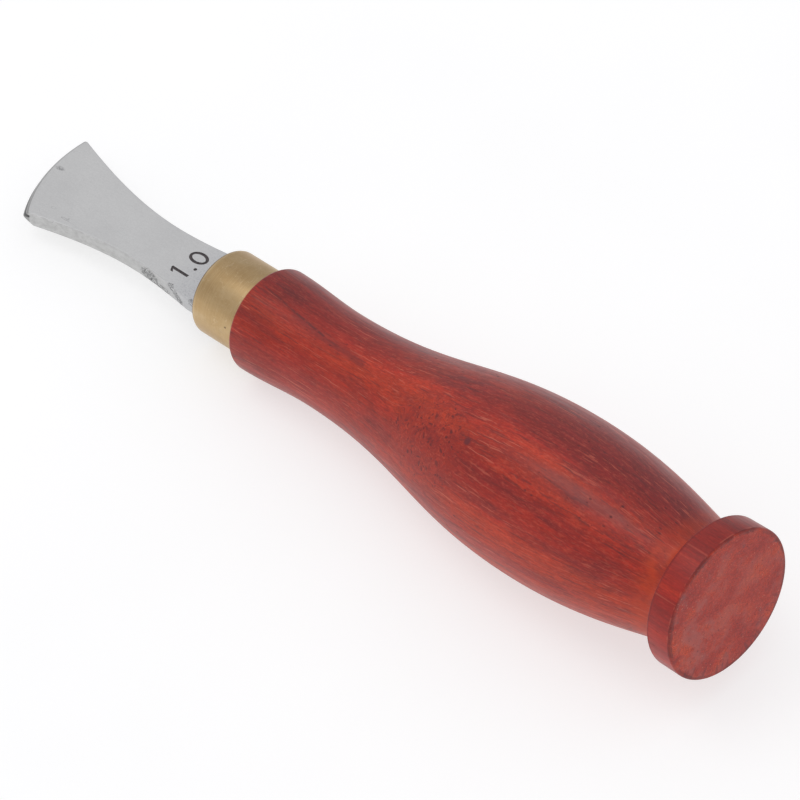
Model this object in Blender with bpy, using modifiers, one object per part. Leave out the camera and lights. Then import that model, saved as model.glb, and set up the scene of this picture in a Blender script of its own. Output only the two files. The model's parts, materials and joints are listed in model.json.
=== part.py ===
"""Edge creaser: a fan-shaped steel creasing blade set in a turned rosewood handle with a brass ferrule.

Metres, +Z up. The tool lies as it rests on a bench, on the belly of the handle and on its
front shoulder, with the blade toward -X, clear of the bench and level from side to side.

Each piece is modelled along the tool's own axis, which starts at the butt of the handle:
local Z runs from the butt to the blade, local Y is square to the blade's flat, local X is
across the blade. The empty "tool" carries all of them into the resting pose.
"""

import math

import bmesh
import bpy
from mathutils import Matrix, Vector

MM = 0.001

# Turned handle: distances from the butt, and radii
HANDLE_LENGTH = 95.8 * MM
POMMEL_RADIUS = 12.15 * MM
POMMEL_THICKNESS = 4.65 * MM
POMMEL_ROUND = 0.5 * MM
NECK_RADIUS = 9.56 * MM
NECK_AT = 7.0 * MM
BELLY_RADIUS = 13.35 * MM
BELLY_AT = 34.5 * MM
WAIST_RADIUS = 7.95 * MM
WAIST_AT = 81.0 * MM
SHOULDER_RADIUS = 8.65 * MM
SHOULDER_ROUND = 0.6 * MM
SPIGOT_RADIUS = 5.9 * MM
SPIGOT_LENGTH = 9.3 * MM
BORE_RADIUS = 4.0 * MM
BORE_END = 62.0 * MM

# Brass ferrule
FERRULE_LENGTH = 9.75 * MM
FERRULE_RADIUS = 7.1 * MM
FERRULE_BORE = 6.2 * MM
FERRULE_ROUND = 0.3 * MM

# Blade: a flat plate, waisted, with a fan head and an oblique, convex working edge
BLADE_THICKNESS = 2.6 * MM
SHANK_START = 105.4 * MM
SHANK_HALF = 5.85 * MM
SHANK_STRAIGHT = 108.5 * MM
BLADE_WAIST_HALF = 4.79 * MM
BLADE_WAIST_AT = 121.5 * MM
FAN_HALF = 9.95 * MM
FAN_AT = 149.4 * MM
FAN_SLOPE = 0.30
EDGE_RADIUS = 26.0 * MM
EDGE_CENTRE = (124.3 * MM, -8.55 * MM)
CREASE_DEPTH = 0.5 * MM

# Tang and the resin that beds it in the bore
TANG_END = 66.0 * MM
TANG_ROOT_WIDTH = 5.0 * MM
TANG_TIP_WIDTH = 3.0 * MM
TANG_THICKNESS = 2.4 * MM
RESIN_RADIUS = 3.7 * MM
CLEARANCE = 0.3 * MM
BUTT_JOINT = 0.2 * MM

TURNED_STEPS = 48


def clear_scene():
    for obj in list(bpy.data.objects):
        bpy.data.objects.remove(obj, do_unlink=True)


def new_collection(name):
    collection = bpy.data.collections.new(name)
    bpy.context.scene.collection.children.link(collection)
    return collection


def new_material(name, colour, roughness, metallic):
    material = bpy.data.materials.new(name)
    material.use_nodes = True
    shader = material.node_tree.nodes["Principled BSDF"]
    shader.inputs["Base Color"].default_value = (*colour, 1.0)
    shader.inputs["Roughness"].default_value = roughness
    shader.inputs["Metallic"].default_value = metallic
    material.diffuse_color = (*colour, 1.0)
    return material


def bezier(start, handle_1, handle_2, end, count):
    """Points along a cubic curve, its end left out so that the next run can begin there."""
    found = []
    for i in range(count):
        t = i / count
        weights = ((1 - t) ** 3, 3 * t * (1 - t) ** 2, 3 * t * t * (1 - t), t**3)
        points = (start, handle_1, handle_2, end)
        found.append(tuple(sum(w * p[k] for w, p in zip(weights, points)) for k in (0, 1)))
    return found


def quarter_round(centre, radius, from_degrees, to_degrees, count=4):
    """Points of a rounded corner, both ends included."""
    found = []
    for i in range(count + 1):
        angle = math.radians(from_degrees + (to_degrees - from_degrees) * i / count)
        found.append((centre[0] + radius * math.cos(angle), centre[1] + radius * math.sin(angle)))
    return found


def turned(name, profile, collection, closed=False, steps=TURNED_STEPS):
    """A profile of (radius, height) points, turned about local Z."""
    mesh = bpy.data.meshes.new(name)
    count = len(profile)
    edges = [(i, i + 1) for i in range(count - 1)] + ([(count - 1, 0)] if closed else [])
    mesh.from_pydata([(radius, 0.0, height) for radius, height in profile], edges, [])
    obj = bpy.data.objects.new(name, mesh)
    collection.objects.link(obj)
    screw = obj.modifiers.new("Turn", "SCREW")
    screw.axis = "Z"
    screw.steps = steps
    screw.render_steps = steps
    screw.use_merge_vertices = True
    screw.merge_threshold = 0.00001
    screw.use_smooth_shade = True
    return obj


def handle_profile():
    """From the end of the bore, up its wall, over the spigot and down the outside to the butt."""
    spigot_end = HANDLE_LENGTH + SPIGOT_LENGTH
    points = [
        (0.0, BORE_END),
        (BORE_RADIUS, BORE_END + 0.5 * BORE_RADIUS),
        (BORE_RADIUS, spigot_end),
        (SPIGOT_RADIUS - 0.4 * MM, spigot_end),
        (SPIGOT_RADIUS, spigot_end - 0.4 * MM),
        (SPIGOT_RADIUS, HANDLE_LENGTH),
    ]
    shoulder = (SHOULDER_RADIUS - SHOULDER_ROUND, HANDLE_LENGTH - SHOULDER_ROUND)
    points += quarter_round(shoulder, SHOULDER_ROUND, 90, 0)
    points += bezier(
        (SHOULDER_RADIUS, HANDLE_LENGTH - SHOULDER_ROUND - 0.5 * MM),
        (SHOULDER_RADIUS - 0.05 * MM, WAIST_AT + 9.0 * MM),
        (WAIST_RADIUS, WAIST_AT + 5.0 * MM),
        (WAIST_RADIUS, WAIST_AT),
        6,
    )
    points += bezier(
        (WAIST_RADIUS, WAIST_AT),
        (WAIST_RADIUS, WAIST_AT - 21.0 * MM),
        (BELLY_RADIUS, BELLY_AT + 20.0 * MM),
        (BELLY_RADIUS, BELLY_AT),
        14,
    )
    points += bezier(
        (BELLY_RADIUS, BELLY_AT),
        (BELLY_RADIUS + 0.03 * MM, 20.7 * MM),
        (10.3 * MM, 11.5 * MM),
        (NECK_RADIUS, NECK_AT),
        10,
    )
    points += bezier(
        (NECK_RADIUS, NECK_AT),
        (NECK_RADIUS - 0.16 * MM, NECK_AT - 0.95 * MM),
        (NECK_RADIUS + 0.19 * MM, POMMEL_THICKNESS),
        (NECK_RADIUS + 1.60 * MM, POMMEL_THICKNESS),
        5,
    )
    front_rim = (POMMEL_RADIUS - 0.1 * MM - POMMEL_ROUND, POMMEL_THICKNESS - POMMEL_ROUND)
    points += quarter_round(front_rim, POMMEL_ROUND, 90, 0, 3)
    points += quarter_round((POMMEL_RADIUS - POMMEL_ROUND, POMMEL_ROUND), POMMEL_ROUND, 0, -90, 3)
    points.append((0.0, 0.0))
    return points


def ferrule_profile():
    """A tube with rounded outer edges, from its front inner edge over the outside and back."""
    back = HANDLE_LENGTH + BUTT_JOINT
    front = back + FERRULE_LENGTH
    outer = FERRULE_RADIUS - FERRULE_ROUND
    points = [(FERRULE_BORE, front)]
    points += quarter_round((outer, front - FERRULE_ROUND), FERRULE_ROUND, 90, 0, 3)
    points += [(FERRULE_RADIUS, back + 0.1 * MM), (FERRULE_RADIUS - 0.1 * MM, back), (FERRULE_BORE, back)]
    return points


def blade_outline(collection):
    """The head and shank in plan, X along the tool and Y across it, run out past the working edge."""
    curve = bpy.data.curves.new("blade_outline", "CURVE")
    curve.dimensions = "2D"
    curve.fill_mode = "BOTH"
    curve.extrude = BLADE_THICKNESS / 2
    curve.resolution_u = 10
    spline = curve.splines.new("BEZIER")
    past = 4.0 * MM
    tip_half = FAN_HALF + past * FAN_SLOPE
    # Each corner of one side: (x, half width), then its handles before and after.
    side = [
        ((SHANK_START, SHANK_HALF), None, None),
        ((SHANK_STRAIGHT, SHANK_HALF), None, (SHANK_STRAIGHT + 4.5 * MM, SHANK_HALF - 0.57 * MM)),
        (
            (BLADE_WAIST_AT, BLADE_WAIST_HALF),
            (BLADE_WAIST_AT - 4.5 * MM, BLADE_WAIST_HALF),
            (BLADE_WAIST_AT + 9.5 * MM, BLADE_WAIST_HALF),
        ),
        ((FAN_AT, FAN_HALF), (FAN_AT - 9.0 * MM, FAN_HALF - 9.0 * MM * FAN_SLOPE), None),
        ((FAN_AT + past, tip_half), None, None),
    ]
    corners = [(place, before, after, -1) for place, before, after in side]
    corners += [(place, after, before, 1) for place, before, after in reversed(side)]
    spline.bezier_points.add(len(corners) - 1)
    for point, (place, before, after, sign) in zip(spline.bezier_points, corners):
        point.co = (place[0], sign * place[1], 0.0)
        point.handle_left_type = "FREE" if before else "VECTOR"
        point.handle_right_type = "FREE" if after else "VECTOR"
        if before:
            point.handle_left = (before[0], sign * before[1], 0.0)
        if after:
            point.handle_right = (after[0], sign * after[1], 0.0)
    spline.use_cyclic_u = True
    obj = bpy.data.objects.new("blade_outline", curve)
    collection.objects.link(obj)
    return obj


def mesh_from_curve(curve_object, name, collection):
    """The curve's solid as a mesh object in the same place, its caps welded to its sides."""
    bpy.context.view_layer.update()
    graph = bpy.context.evaluated_depsgraph_get()
    mesh = bpy.data.meshes.new_from_object(curve_object.evaluated_get(graph))
    welded = bmesh.new()
    welded.from_mesh(mesh)
    bmesh.ops.remove_doubles(welded, verts=welded.verts, dist=0.000001)
    bmesh.ops.recalc_face_normals(welded, faces=welded.faces)
    welded.to_mesh(mesh)
    welded.free()
    mesh.name = name
    obj = bpy.data.objects.new(name, mesh)
    obj.matrix_world = curve_object.matrix_world
    collection.objects.link(obj)
    bpy.data.objects.remove(curve_object, do_unlink=True)
    return obj


def edge_form(collection):
    """The ring that shapes the working edge: a short upper ridge, a crease and a longer guide ridge.

    Its profile is the space around the edge, as (distance behind the guide ridge's crest, height).
    """
    top, groove_back = BLADE_THICKNESS / 2, 0.55 * MM + CREASE_DEPTH
    edge = [
        (1.30 * MM, top + 0.4 * MM),
        (1.10 * MM, top - 0.02 * MM),
        (0.80 * MM, 1.13 * MM),
        (0.60 * MM, 0.98 * MM),
        (0.55 * MM, 0.86 * MM),
        (0.62 * MM, 0.76 * MM),
        (groove_back - 0.1 * MM, 0.70 * MM),
        (groove_back, 0.52 * MM),
        (groove_back - 0.1 * MM, 0.34 * MM),
        (0.22 * MM, 0.25 * MM),
        (0.04 * MM, 0.18 * MM),
        (0.00 * MM, 0.06 * MM),
        (0.08 * MM, -0.08 * MM),
        (1.40 * MM, -top + 0.02 * MM),
        (1.80 * MM, -top - 0.4 * MM),
    ]
    outside, far = EDGE_RADIUS + 12.0 * MM, 3.0 * MM
    inner = [(EDGE_RADIUS - back, height) for back, height in edge]
    profile = [(outside, far), (outside, -far), (inner[-1][0], -far)]
    profile += list(reversed(inner)) + [(inner[0][0], far)]
    ring = turned("edge_form", profile, collection, closed=True, steps=144)
    ring.location = (EDGE_CENTRE[0], EDGE_CENTRE[1], 0.0)
    return ring


def tapered_bar(name, start, end, widths, thickness, collection):
    """A flat bar along X that tapers from its start to its end."""
    mesh = bpy.data.meshes.new(name)
    bar = bmesh.new()
    bmesh.ops.create_cube(bar, size=1.0)
    for vertex in bar.verts:
        at_end = vertex.co.x > 0
        vertex.co.x = end if at_end else start
        vertex.co.y *= widths[1] if at_end else widths[0]
        vertex.co.z *= thickness
    bmesh.ops.recalc_face_normals(bar, faces=bar.faces)
    bar.to_mesh(mesh)
    bar.free()
    obj = bpy.data.objects.new(name, mesh)
    collection.objects.link(obj)
    return obj


def boolean(obj, operation, other):
    modifier = obj.modifiers.new(f"{operation.title()} {other.name}", "BOOLEAN")
    modifier.operation = operation
    modifier.object = other
    modifier.solver = "EXACT"


def lowest(points, tilt):
    """The height of the lowest of these (height, distance from the butt) points, nose down by the tilt."""
    return min(height * math.cos(tilt) - along * math.sin(tilt) for height, along in points)


def points_on_tool(objects, tool):
    """The evaluated points of the objects in the tool's own frame."""
    graph = bpy.context.evaluated_depsgraph_get()
    found = []
    for obj in objects:
        evaluated = obj.evaluated_get(graph)
        to_tool = tool.matrix_world.inverted() @ evaluated.matrix_world
        found += [to_tool @ vertex.co for vertex in evaluated.to_mesh().vertices]
        evaluated.to_mesh_clear()
    return found


def lay_down(tool, objects):
    """Turns the nose down until the belly and the front share one level, and sets them on the bench."""
    bpy.context.view_layer.update()
    points = points_on_tool(objects, tool)
    behind = [(p.y, p.z) for p in points if p.z < WAIST_AT]
    ahead = [(p.y, p.z) for p in points if p.z >= WAIST_AT]
    low, high = 0.0, math.radians(15)
    for _ in range(40):
        tilt = (low + high) / 2
        if lowest(behind, tilt) < lowest(ahead, tilt):
            low = tilt
        else:
            high = tilt
    tool.rotation_euler = (math.radians(90) + tilt, 0.0, math.radians(-90))
    bpy.context.view_layer.update()
    placed = [tool.matrix_world @ p for p in points]
    xs, ys, zs = ([p[k] for p in placed] for k in (0, 1, 2))
    tool.location = (-(min(xs) + max(xs)) / 2, -(min(ys) + max(ys)) / 2, -min(zs))
    bpy.context.view_layer.update()


def main():
    clear_scene()
    parts = new_collection("edge_creaser")
    helpers = new_collection("cutters")
    wood = new_material("rosewood", (0.30, 0.056, 0.048), 0.42, 0.0)
    brass = new_material("brass", (0.43, 0.29, 0.14), 0.35, 1.0)
    steel = new_material("steel", (0.50, 0.50, 0.50), 0.45, 1.0)
    resin = new_material("cured_resin", (0.55, 0.40, 0.17), 0.30, 0.0)

    tool = bpy.data.objects.new("tool", None)
    parts.objects.link(tool)

    handle = turned("handle", handle_profile(), parts)
    ferrule = turned("ferrule", ferrule_profile(), parts, closed=True)

    # The blade's plan lies in its local XY plane: X to the tool's Z, Y to its X, Z to its Y.
    plan = Matrix(((0, 1, 0, 0), (0, 0, 1, 0), (1, 0, 0, 0), (0, 0, 0, 1)))
    blade = mesh_from_curve(blade_outline(parts), "blade", parts)
    form = edge_form(helpers)
    bar_start = SHANK_START + 1.5 * MM
    widths = (TANG_ROOT_WIDTH, TANG_TIP_WIDTH)
    tang = tapered_bar("tang", bar_start, TANG_END, widths, TANG_THICKNESS, helpers)
    boolean(blade, "DIFFERENCE", form)
    boolean(blade, "UNION", tang)

    # The resin fills the bore around the tang and is open at the mouth of the bore.
    mouth = HANDLE_LENGTH + SPIGOT_LENGTH - CLEARANCE
    resin_profile = [
        (0.0, mouth),
        (RESIN_RADIUS, mouth),
        (RESIN_RADIUS, BORE_END + 0.5 * BORE_RADIUS + CLEARANCE),
        (0.0, BORE_END + 2 * CLEARANCE),
    ]
    bed = turned("tang_resin", resin_profile, parts, steps=32)
    pocket_widths = tuple(width + 2 * CLEARANCE for width in widths)
    pocket = tapered_bar(
        "tang_pocket",
        bar_start,
        TANG_END - CLEARANCE,
        pocket_widths,
        TANG_THICKNESS + 2 * CLEARANCE,
        helpers,
    )
    boolean(bed, "DIFFERENCE", pocket)

    for obj in (handle, ferrule, bed, blade, form, tang, pocket):
        obj.parent = tool
    for obj in (blade, tang, pocket):
        obj.matrix_local = plan
    form.matrix_local = plan @ Matrix.Translation(Vector((*EDGE_CENTRE, 0.0)))
    for obj in helpers.objects:
        obj.hide_render = True
        obj.display_type = "WIRE"

    for obj, material in ((handle, wood), (ferrule, brass), (blade, steel), (bed, resin)):
        obj.data.materials.append(material)
    for obj in (handle, ferrule, bed):
        obj.data.set_sharp_from_angle(angle=math.radians(35))
    lay_down(tool, (handle, ferrule, blade))


main()
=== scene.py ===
"""The looks of the edge creaser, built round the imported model.

Every piece is made in the tool's own frame, in metres, and then placed by TOOL: local Z runs
along the tool from the butt of the handle toward the blade, local X across the blade and local
Y square to its flat, upward. The handle, the ferrule and the blade are finer meshes of the
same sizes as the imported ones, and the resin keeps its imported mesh.
"""

import json
import math
from types import SimpleNamespace

import bmesh
import bpy
from mathutils import Matrix, Vector


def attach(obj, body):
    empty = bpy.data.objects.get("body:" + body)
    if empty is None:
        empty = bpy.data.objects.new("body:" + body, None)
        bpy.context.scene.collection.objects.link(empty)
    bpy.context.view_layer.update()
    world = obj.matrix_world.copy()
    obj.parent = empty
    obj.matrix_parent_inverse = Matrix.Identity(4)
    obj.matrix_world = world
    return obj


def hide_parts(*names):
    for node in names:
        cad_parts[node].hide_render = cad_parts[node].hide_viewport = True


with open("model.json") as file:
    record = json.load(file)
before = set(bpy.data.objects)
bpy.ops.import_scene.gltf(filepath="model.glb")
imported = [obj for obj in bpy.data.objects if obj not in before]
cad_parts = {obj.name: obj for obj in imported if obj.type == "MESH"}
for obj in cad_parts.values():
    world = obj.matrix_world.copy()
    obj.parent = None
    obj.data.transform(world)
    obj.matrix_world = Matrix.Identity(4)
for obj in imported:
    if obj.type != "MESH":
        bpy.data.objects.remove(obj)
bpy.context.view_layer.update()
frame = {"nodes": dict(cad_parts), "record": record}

MM = 0.001

# The tool's frame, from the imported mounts: the butt's face and the flat under the blade
mounts = {mount["name"]: mount for mount in frame["record"]["mounts"]}
butt = Vector(mounts["butt_face"]["pos_m"])
along = -Vector(mounts["butt_face"]["axis"]).normalized()
upward = -Vector(mounts["blade_underside"]["axis"]).normalized()
across = upward.cross(along).normalized()
TOOL_AXES = (across, upward, along)
TOOL = Matrix(TOOL_AXES).transposed().to_4x4()
TOOL.translation = butt

# Handle, as in part.py, with finer roundings
HANDLE_LENGTH = 95.8 * MM
POMMEL_RADIUS = 12.15 * MM
POMMEL_THICKNESS = 4.65 * MM
NECK_RADIUS = 9.56 * MM
NECK_AT = 7.0 * MM
BELLY_RADIUS = 13.35 * MM
BELLY_AT = 34.5 * MM
WAIST_RADIUS = 7.95 * MM
WAIST_AT = 81.0 * MM
SHOULDER_RADIUS = 8.65 * MM
SHOULDER_ROUND = 0.6 * MM
SPIGOT_RADIUS = 5.9 * MM
SPIGOT_LENGTH = 9.3 * MM
BORE_RADIUS = 4.0 * MM
BORE_END = 62.0 * MM
BORE_CHAMFER = 0.15 * MM
SPIGOT_CHAMFER = 0.4 * MM
DISC_TAPER = 0.05 * MM
DISC_FRONT_ROUND = 0.6 * MM
DISC_BACK_ROUND = 0.35 * MM

# Ferrule, as in part.py
FERRULE_LENGTH = 9.75 * MM
FERRULE_RADIUS = 7.1 * MM
FERRULE_BORE = 6.2 * MM
BUTT_JOINT = 0.2 * MM

# Blade, as in part.py
BLADE_THICKNESS = 2.6 * MM
SHANK_START = 105.4 * MM
SHANK_HALF = 5.85 * MM
SHANK_STRAIGHT = 108.5 * MM
BLADE_WAIST_HALF = 4.79 * MM
BLADE_WAIST_AT = 121.5 * MM
FAN_HALF = 9.95 * MM
FAN_AT = 149.4 * MM
FAN_SLOPE = 0.30
EDGE_RADIUS = 26.0 * MM
EDGE_CENTRE = (124.3 * MM, -8.55 * MM)
TANG_END = 66.0 * MM
TANG_ROOT_WIDTH = 5.0 * MM
TANG_TIP_WIDTH = 3.0 * MM
TANG_THICKNESS = 2.4 * MM
TANG_OVERLAP = 1.5 * MM

# Size numeral on the blade: how tall its digits are, and where their feet stand
DIGIT_HEIGHT = 3.7 * MM
DIGIT_FEET = 111.8 * MM
DIGIT_STROKE = 0.52 * MM
DIGIT_DEPTH = 0.09 * MM

# The camera looks at a point near the middle of the tool, from behind and above the handle
CAMERA_AZIMUTH = 47.454
CAMERA_ELEVATION = 45.052
CAMERA_ROLL = -2.483
CAMERA_DISTANCE = 748.5 * MM
CAMERA_AIM = (6.77 * MM, 0.77 * MM, 9.93 * MM)
CAMERA_LENS = 225.0

# How finely the turned pieces are stepped round, the angles in degrees past which an edge stays sharp,
# how often the search along the blade's plan halves its range, and how often it ends a line anew
TURNED_STEPS = 256
TURNED_SHARP = 32
BLADE_SHARP = 30
HALVINGS = 30
LINE_ROUNDS = 12

# Floor and light: half the floor's width in metres, its own glow as a share of white, the tent's
# colours at the horizon and overhead, and the one lamp, with its place in degrees and metres
FLOOR_HALF = 3.0
FLOOR_GLOW = 0.60
TENT_LOW = (0.60, 0.60, 0.615)
TENT_HIGH = (0.76, 0.76, 0.78)
LAMP_AZIMUTH = -50
LAMP_ELEVATION = 66
LAMP_DISTANCE = 0.9
LAMP_SIZE = (0.60, 0.44)
LAMP_RADIANCE = 1.3

# For the materials, in millimetres: the ferrule's front, the wood's plain cylinder, the edge's centre
FRONT_MM = (HANDLE_LENGTH + BUTT_JOINT + FERRULE_LENGTH) / MM
SKIN_RADIUS = 10.0
EDGE_CENTRE_MM = (EDGE_CENTRE[1] / MM, 0.0, EDGE_CENTRE[0] / MM)


# ---------------------------------------------------------------- node graphs


class Graph:
    """A material's node tree, with one short call for each kind of node."""

    def __init__(self, name):
        self.material = bpy.data.materials.new(name)
        self.material.use_nodes = True
        self.tree = self.material.node_tree
        self.shader = self.tree.nodes["Principled BSDF"]

    def node(self, kind, inputs=(), **settings):
        """A node with its settings and its inputs; an input that is None keeps its default."""
        made = self.tree.nodes.new(kind)
        for key, value in settings.items():
            setattr(made, key, value)
        for key, value in dict(inputs).items():
            if value is not None:
                self.put(made.inputs[key], value)
        return made

    def put(self, socket, value):
        if isinstance(value, bpy.types.NodeSocket):
            self.tree.links.new(value, socket)
        else:
            socket.default_value = value

    def in_tool(self, vector):
        """A world vector along the tool's own axes: across the blade, square to it and along the tool."""
        inputs = {axis: self.vector("DOT_PRODUCT", vector, tuple(way)) for axis, way in zip("XYZ", TOOL_AXES)}
        return self.node("ShaderNodeCombineXYZ", inputs).outputs[0]

    def millimetres(self):
        """The place in the tool's frame, in millimetres. Pieces stand at the world's origin."""
        place = self.node("ShaderNodeTexCoord").outputs["Object"]
        from_butt = self.vector("SUBTRACT", place, tuple(butt))
        return self.in_tool(self.vector("SCALE", from_butt, scale=1 / MM))

    def facing(self):
        """The way the surface faces, in the tool's frame."""
        return self.in_tool(self.node("ShaderNodeTexCoord").outputs["Normal"])

    def vector(self, operation, a, b=None, scale=None):
        made = self.node("ShaderNodeVectorMath", {0: a, 1: b, "Scale": scale}, operation=operation)
        return made.outputs["Value" if operation in ("LENGTH", "DOT_PRODUCT") else "Vector"]

    def math(self, operation, a, b=None):
        return self.node("ShaderNodeMath", {0: a, 1: b}, operation=operation).outputs[0]

    def highest(self, first, *others):
        """The greatest of several values."""
        for other in others:
            first = self.math("MAXIMUM", first, other)
        return first

    def away(self, value, middle):
        """How far the value lies from the middle, either way."""
        return self.math("ABSOLUTE", self.math("SUBTRACT", value, middle))

    def product(self, first, *others):
        for other in others:
            first = self.math("MULTIPLY", first, other)
        return first

    def stretched(self, place, x, y, z):
        return self.vector("MULTIPLY", place, (x, y, z))

    def axes(self, place):
        return tuple(self.node("ShaderNodeSeparateXYZ", {"Vector": place}).outputs)

    def noise(self, place, scale=1.0, detail=2.0, roughness=0.5, colour=False):
        inputs = {"Vector": place, "Scale": scale, "Detail": detail, "Roughness": roughness}
        return self.node("ShaderNodeTexNoise", inputs).outputs["Color" if colour else "Fac"]

    def streaked(self, place, stretch, detail, roughness=0.5):
        """Noise at a scale of its own along each axis."""
        return self.noise(self.vector("MULTIPLY", place, stretch), 1.0, detail, roughness)

    def sway(self, place, scale, detail, reach):
        """An offset that wanders smoothly with the place, up to about half of reach on each axis."""
        centred = self.vector("SUBTRACT", self.noise(place, scale, detail, colour=True), (0.5, 0.5, 0.5))
        return self.vector("MULTIPLY", centred, reach)

    def cells(self, place, scale=1.0):
        """Distance to the nearest of many scattered points, and three random numbers of that point."""
        made = self.node("ShaderNodeTexVoronoi", {"Vector": place, "Scale": scale})
        return made.outputs["Distance"], self.axes(made.outputs["Color"])

    def near(self, place, centre, stretch, inner, outer):
        """1 inside the inner radius of a stretched ball about the centre, falling to 0 at the outer one."""
        offset = self.vector("SUBTRACT", place, centre)
        return self.between(self.vector("LENGTH", self.vector("MULTIPLY", offset, stretch)), outer, inner)

    def along(self, place, start, end, inner, outer):
        """1 within the inner distance of the line between two points, falling to 0 at the outer one."""
        way = Vector(end) - Vector(start)
        offset = self.vector("SUBTRACT", place, start)
        share = self.vector("DOT_PRODUCT", offset, tuple(way / way.length_squared))
        share = self.between(share, 0.0, 1.0, smooth=False)
        gap = self.vector("SUBTRACT", offset, self.vector("SCALE", tuple(way), scale=share))
        return self.between(self.vector("LENGTH", gap), outer, inner)

    def between(self, value, low, high, to_low=0.0, to_high=1.0, smooth=True):
        """The value's place between low and high, as a smooth step from to_low to to_high."""
        inputs = {"Value": value, "From Min": low, "From Max": high, "To Min": to_low, "To Max": to_high}
        kind = "SMOOTHSTEP" if smooth else "LINEAR"
        return self.node("ShaderNodeMapRange", inputs, interpolation_type=kind).outputs["Result"]

    def mix(self, share, a, b):
        """Two colours mixed."""
        made = self.node("ShaderNodeMix", data_type="RGBA", clamp_factor=True)
        self.put(made.inputs["Factor"], share)
        colours = [socket for socket in made.inputs if socket.type == "RGBA"]
        for socket, value in zip(colours, (a, b)):
            self.put(socket, value if isinstance(value, bpy.types.NodeSocket) else (*value, 1.0))
        return next(socket for socket in made.outputs if socket.type == "RGBA")

    def tint(self, colour, other, *shares):
        """A colour mixed toward another, by the shares multiplied."""
        return self.mix(self.product(*shares), colour, other)

    def shaded(self, colour, *factors):
        """A colour made darker or lighter."""
        return self.vector("SCALE", colour, scale=self.product(*factors))

    def ramp(self, value, stops):
        made = self.node("ShaderNodeValToRGB", {"Fac": value})
        elements = made.color_ramp.elements
        while len(elements) < len(stops):
            elements.new(0.5)
        for element, (at, colour) in zip(elements, stops):
            element.position = at
            element.color = (*colour, 1.0)
        return made.outputs["Color"]

    def bump(self, height, distance, strength=1.0):
        inputs = {"Height": height, "Distance": distance, "Strength": strength}
        return self.node("ShaderNodeBump", inputs).outputs["Normal"]

    def surface(self, **inputs):
        """Sets the shader's sockets, named with _ for each space."""
        for key, value in inputs.items():
            socket = self.shader.inputs[key.replace("_", " ")]
            if isinstance(value, tuple) and len(value) == 3:
                value = (*value, 1.0)
            self.put(socket, value)


# ---------------------------------------------------------------- materials

# Rosewood's colours: the broad hues, the dark and pale of its grain, and its single marks; some are painted
# light: the pale also paints glints and a highlight, the greyish sheen is painted, and the disc's corner and
# rim get painted shade
CRIMSON, RED, ORANGE = (0.285, 0.0125, 0.0070), (0.360, 0.0170, 0.0055), (0.430, 0.0290, 0.0055)
PURPLE, PORE, PALE_AND_GLINT = (0.150, 0.0145, 0.0165), (0.085, 0.0090, 0.0110), (0.560, 0.1150, 0.0680)
FLECK, PLUM, WINE = (0.470, 0.0560, 0.0230), (0.165, 0.0105, 0.0125), (0.160, 0.0110, 0.0120)
HAIR_PALE, HAIR_DARK = (0.490, 0.0800, 0.0460), (0.170, 0.0100, 0.0100)
CURL_PALE, CURL_DARK = (0.500, 0.0800, 0.0440), (0.210, 0.0110, 0.0090)
STAIN, EYE, KNOT = (0.200, 0.0110, 0.0120), (0.120, 0.0075, 0.0085), (0.085, 0.0130, 0.0210)
GREY_SHEEN, NECK_GLOW = (0.215, 0.0560, 0.0520), (0.560, 0.0500, 0.0060)
DISC_CORNER_SHADE, DISC_RIM_SHADE = (0.125, 0.0085, 0.0075), (0.170, 0.0100, 0.0085)
DISC_TONES = ((0.36, (0.215, 0.010, 0.0075)), (0.50, (0.295, 0.013, 0.008)), (0.64, (0.400, 0.023, 0.008)))

# The butt's end grain
END_TONES = ((0.36, (0.300, 0.018, 0.011)), (0.50, (0.375, 0.029, 0.014)), (0.64, (0.450, 0.045, 0.014)))
END_HAZE, END_SMUDGE, END_DOT = (0.350, 0.0830, 0.0720), (0.140, 0.0420, 0.0480), (0.560, 0.2100, 0.1500)

# Places on the wood, in mm in the tool's frame: the burl's middle and the round knot beside it
BURL_AT = (8.8, 7.6, 51.5)
KNOT_AT = (7.45, 10.55, 44.0)

# Where single pits lie open on the handle: degrees up round the tool from local X, and mm along it
PITS = ((63, 17.1), (74, 16.7), (56, 9.4), (74, 10.0), (110, 61.6), (116, 50.4))


def rosewood():
    """Deep red hardwood, oiled to a satin: a solid grain that runs along the tool."""
    g = Graph("rosewood")
    w = wood_places(g)
    colour = grain_colour(g, w)
    colour, pore = grain_lines(g, w, colour)
    colour = burl_colour(g, w, colour)
    colour, pore = skin_marks(g, w, colour, pore)
    colour, front_rim = neck_and_disc(g, w, colour)
    colour, face = butt_face(g, w, colour)

    # Oiled to a satin: duller on the end grain, in the pores and on the disc's front rim
    gloss = g.streaked(w.bent, (1.1, 1.1, 0.10), 3.0, 0.6)
    rough = g.between(gloss, 0.3, 0.7, 0.34, 0.46, smooth=False)
    for part, more in ((pore, 0.15), (face, 0.12), (front_rim, 0.20)):
        rough = g.math("ADD", rough, g.product(part, more))
    height = g.math("SUBTRACT", g.product(w.fibre, 0.5), g.product(pore, 0.8))
    bump = g.bump(height, 0.00004, 0.5)
    g.surface(Base_Color=colour, Roughness=rough, Normal=bump, Specular_IOR_Level=0.39)
    return g.material


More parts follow.
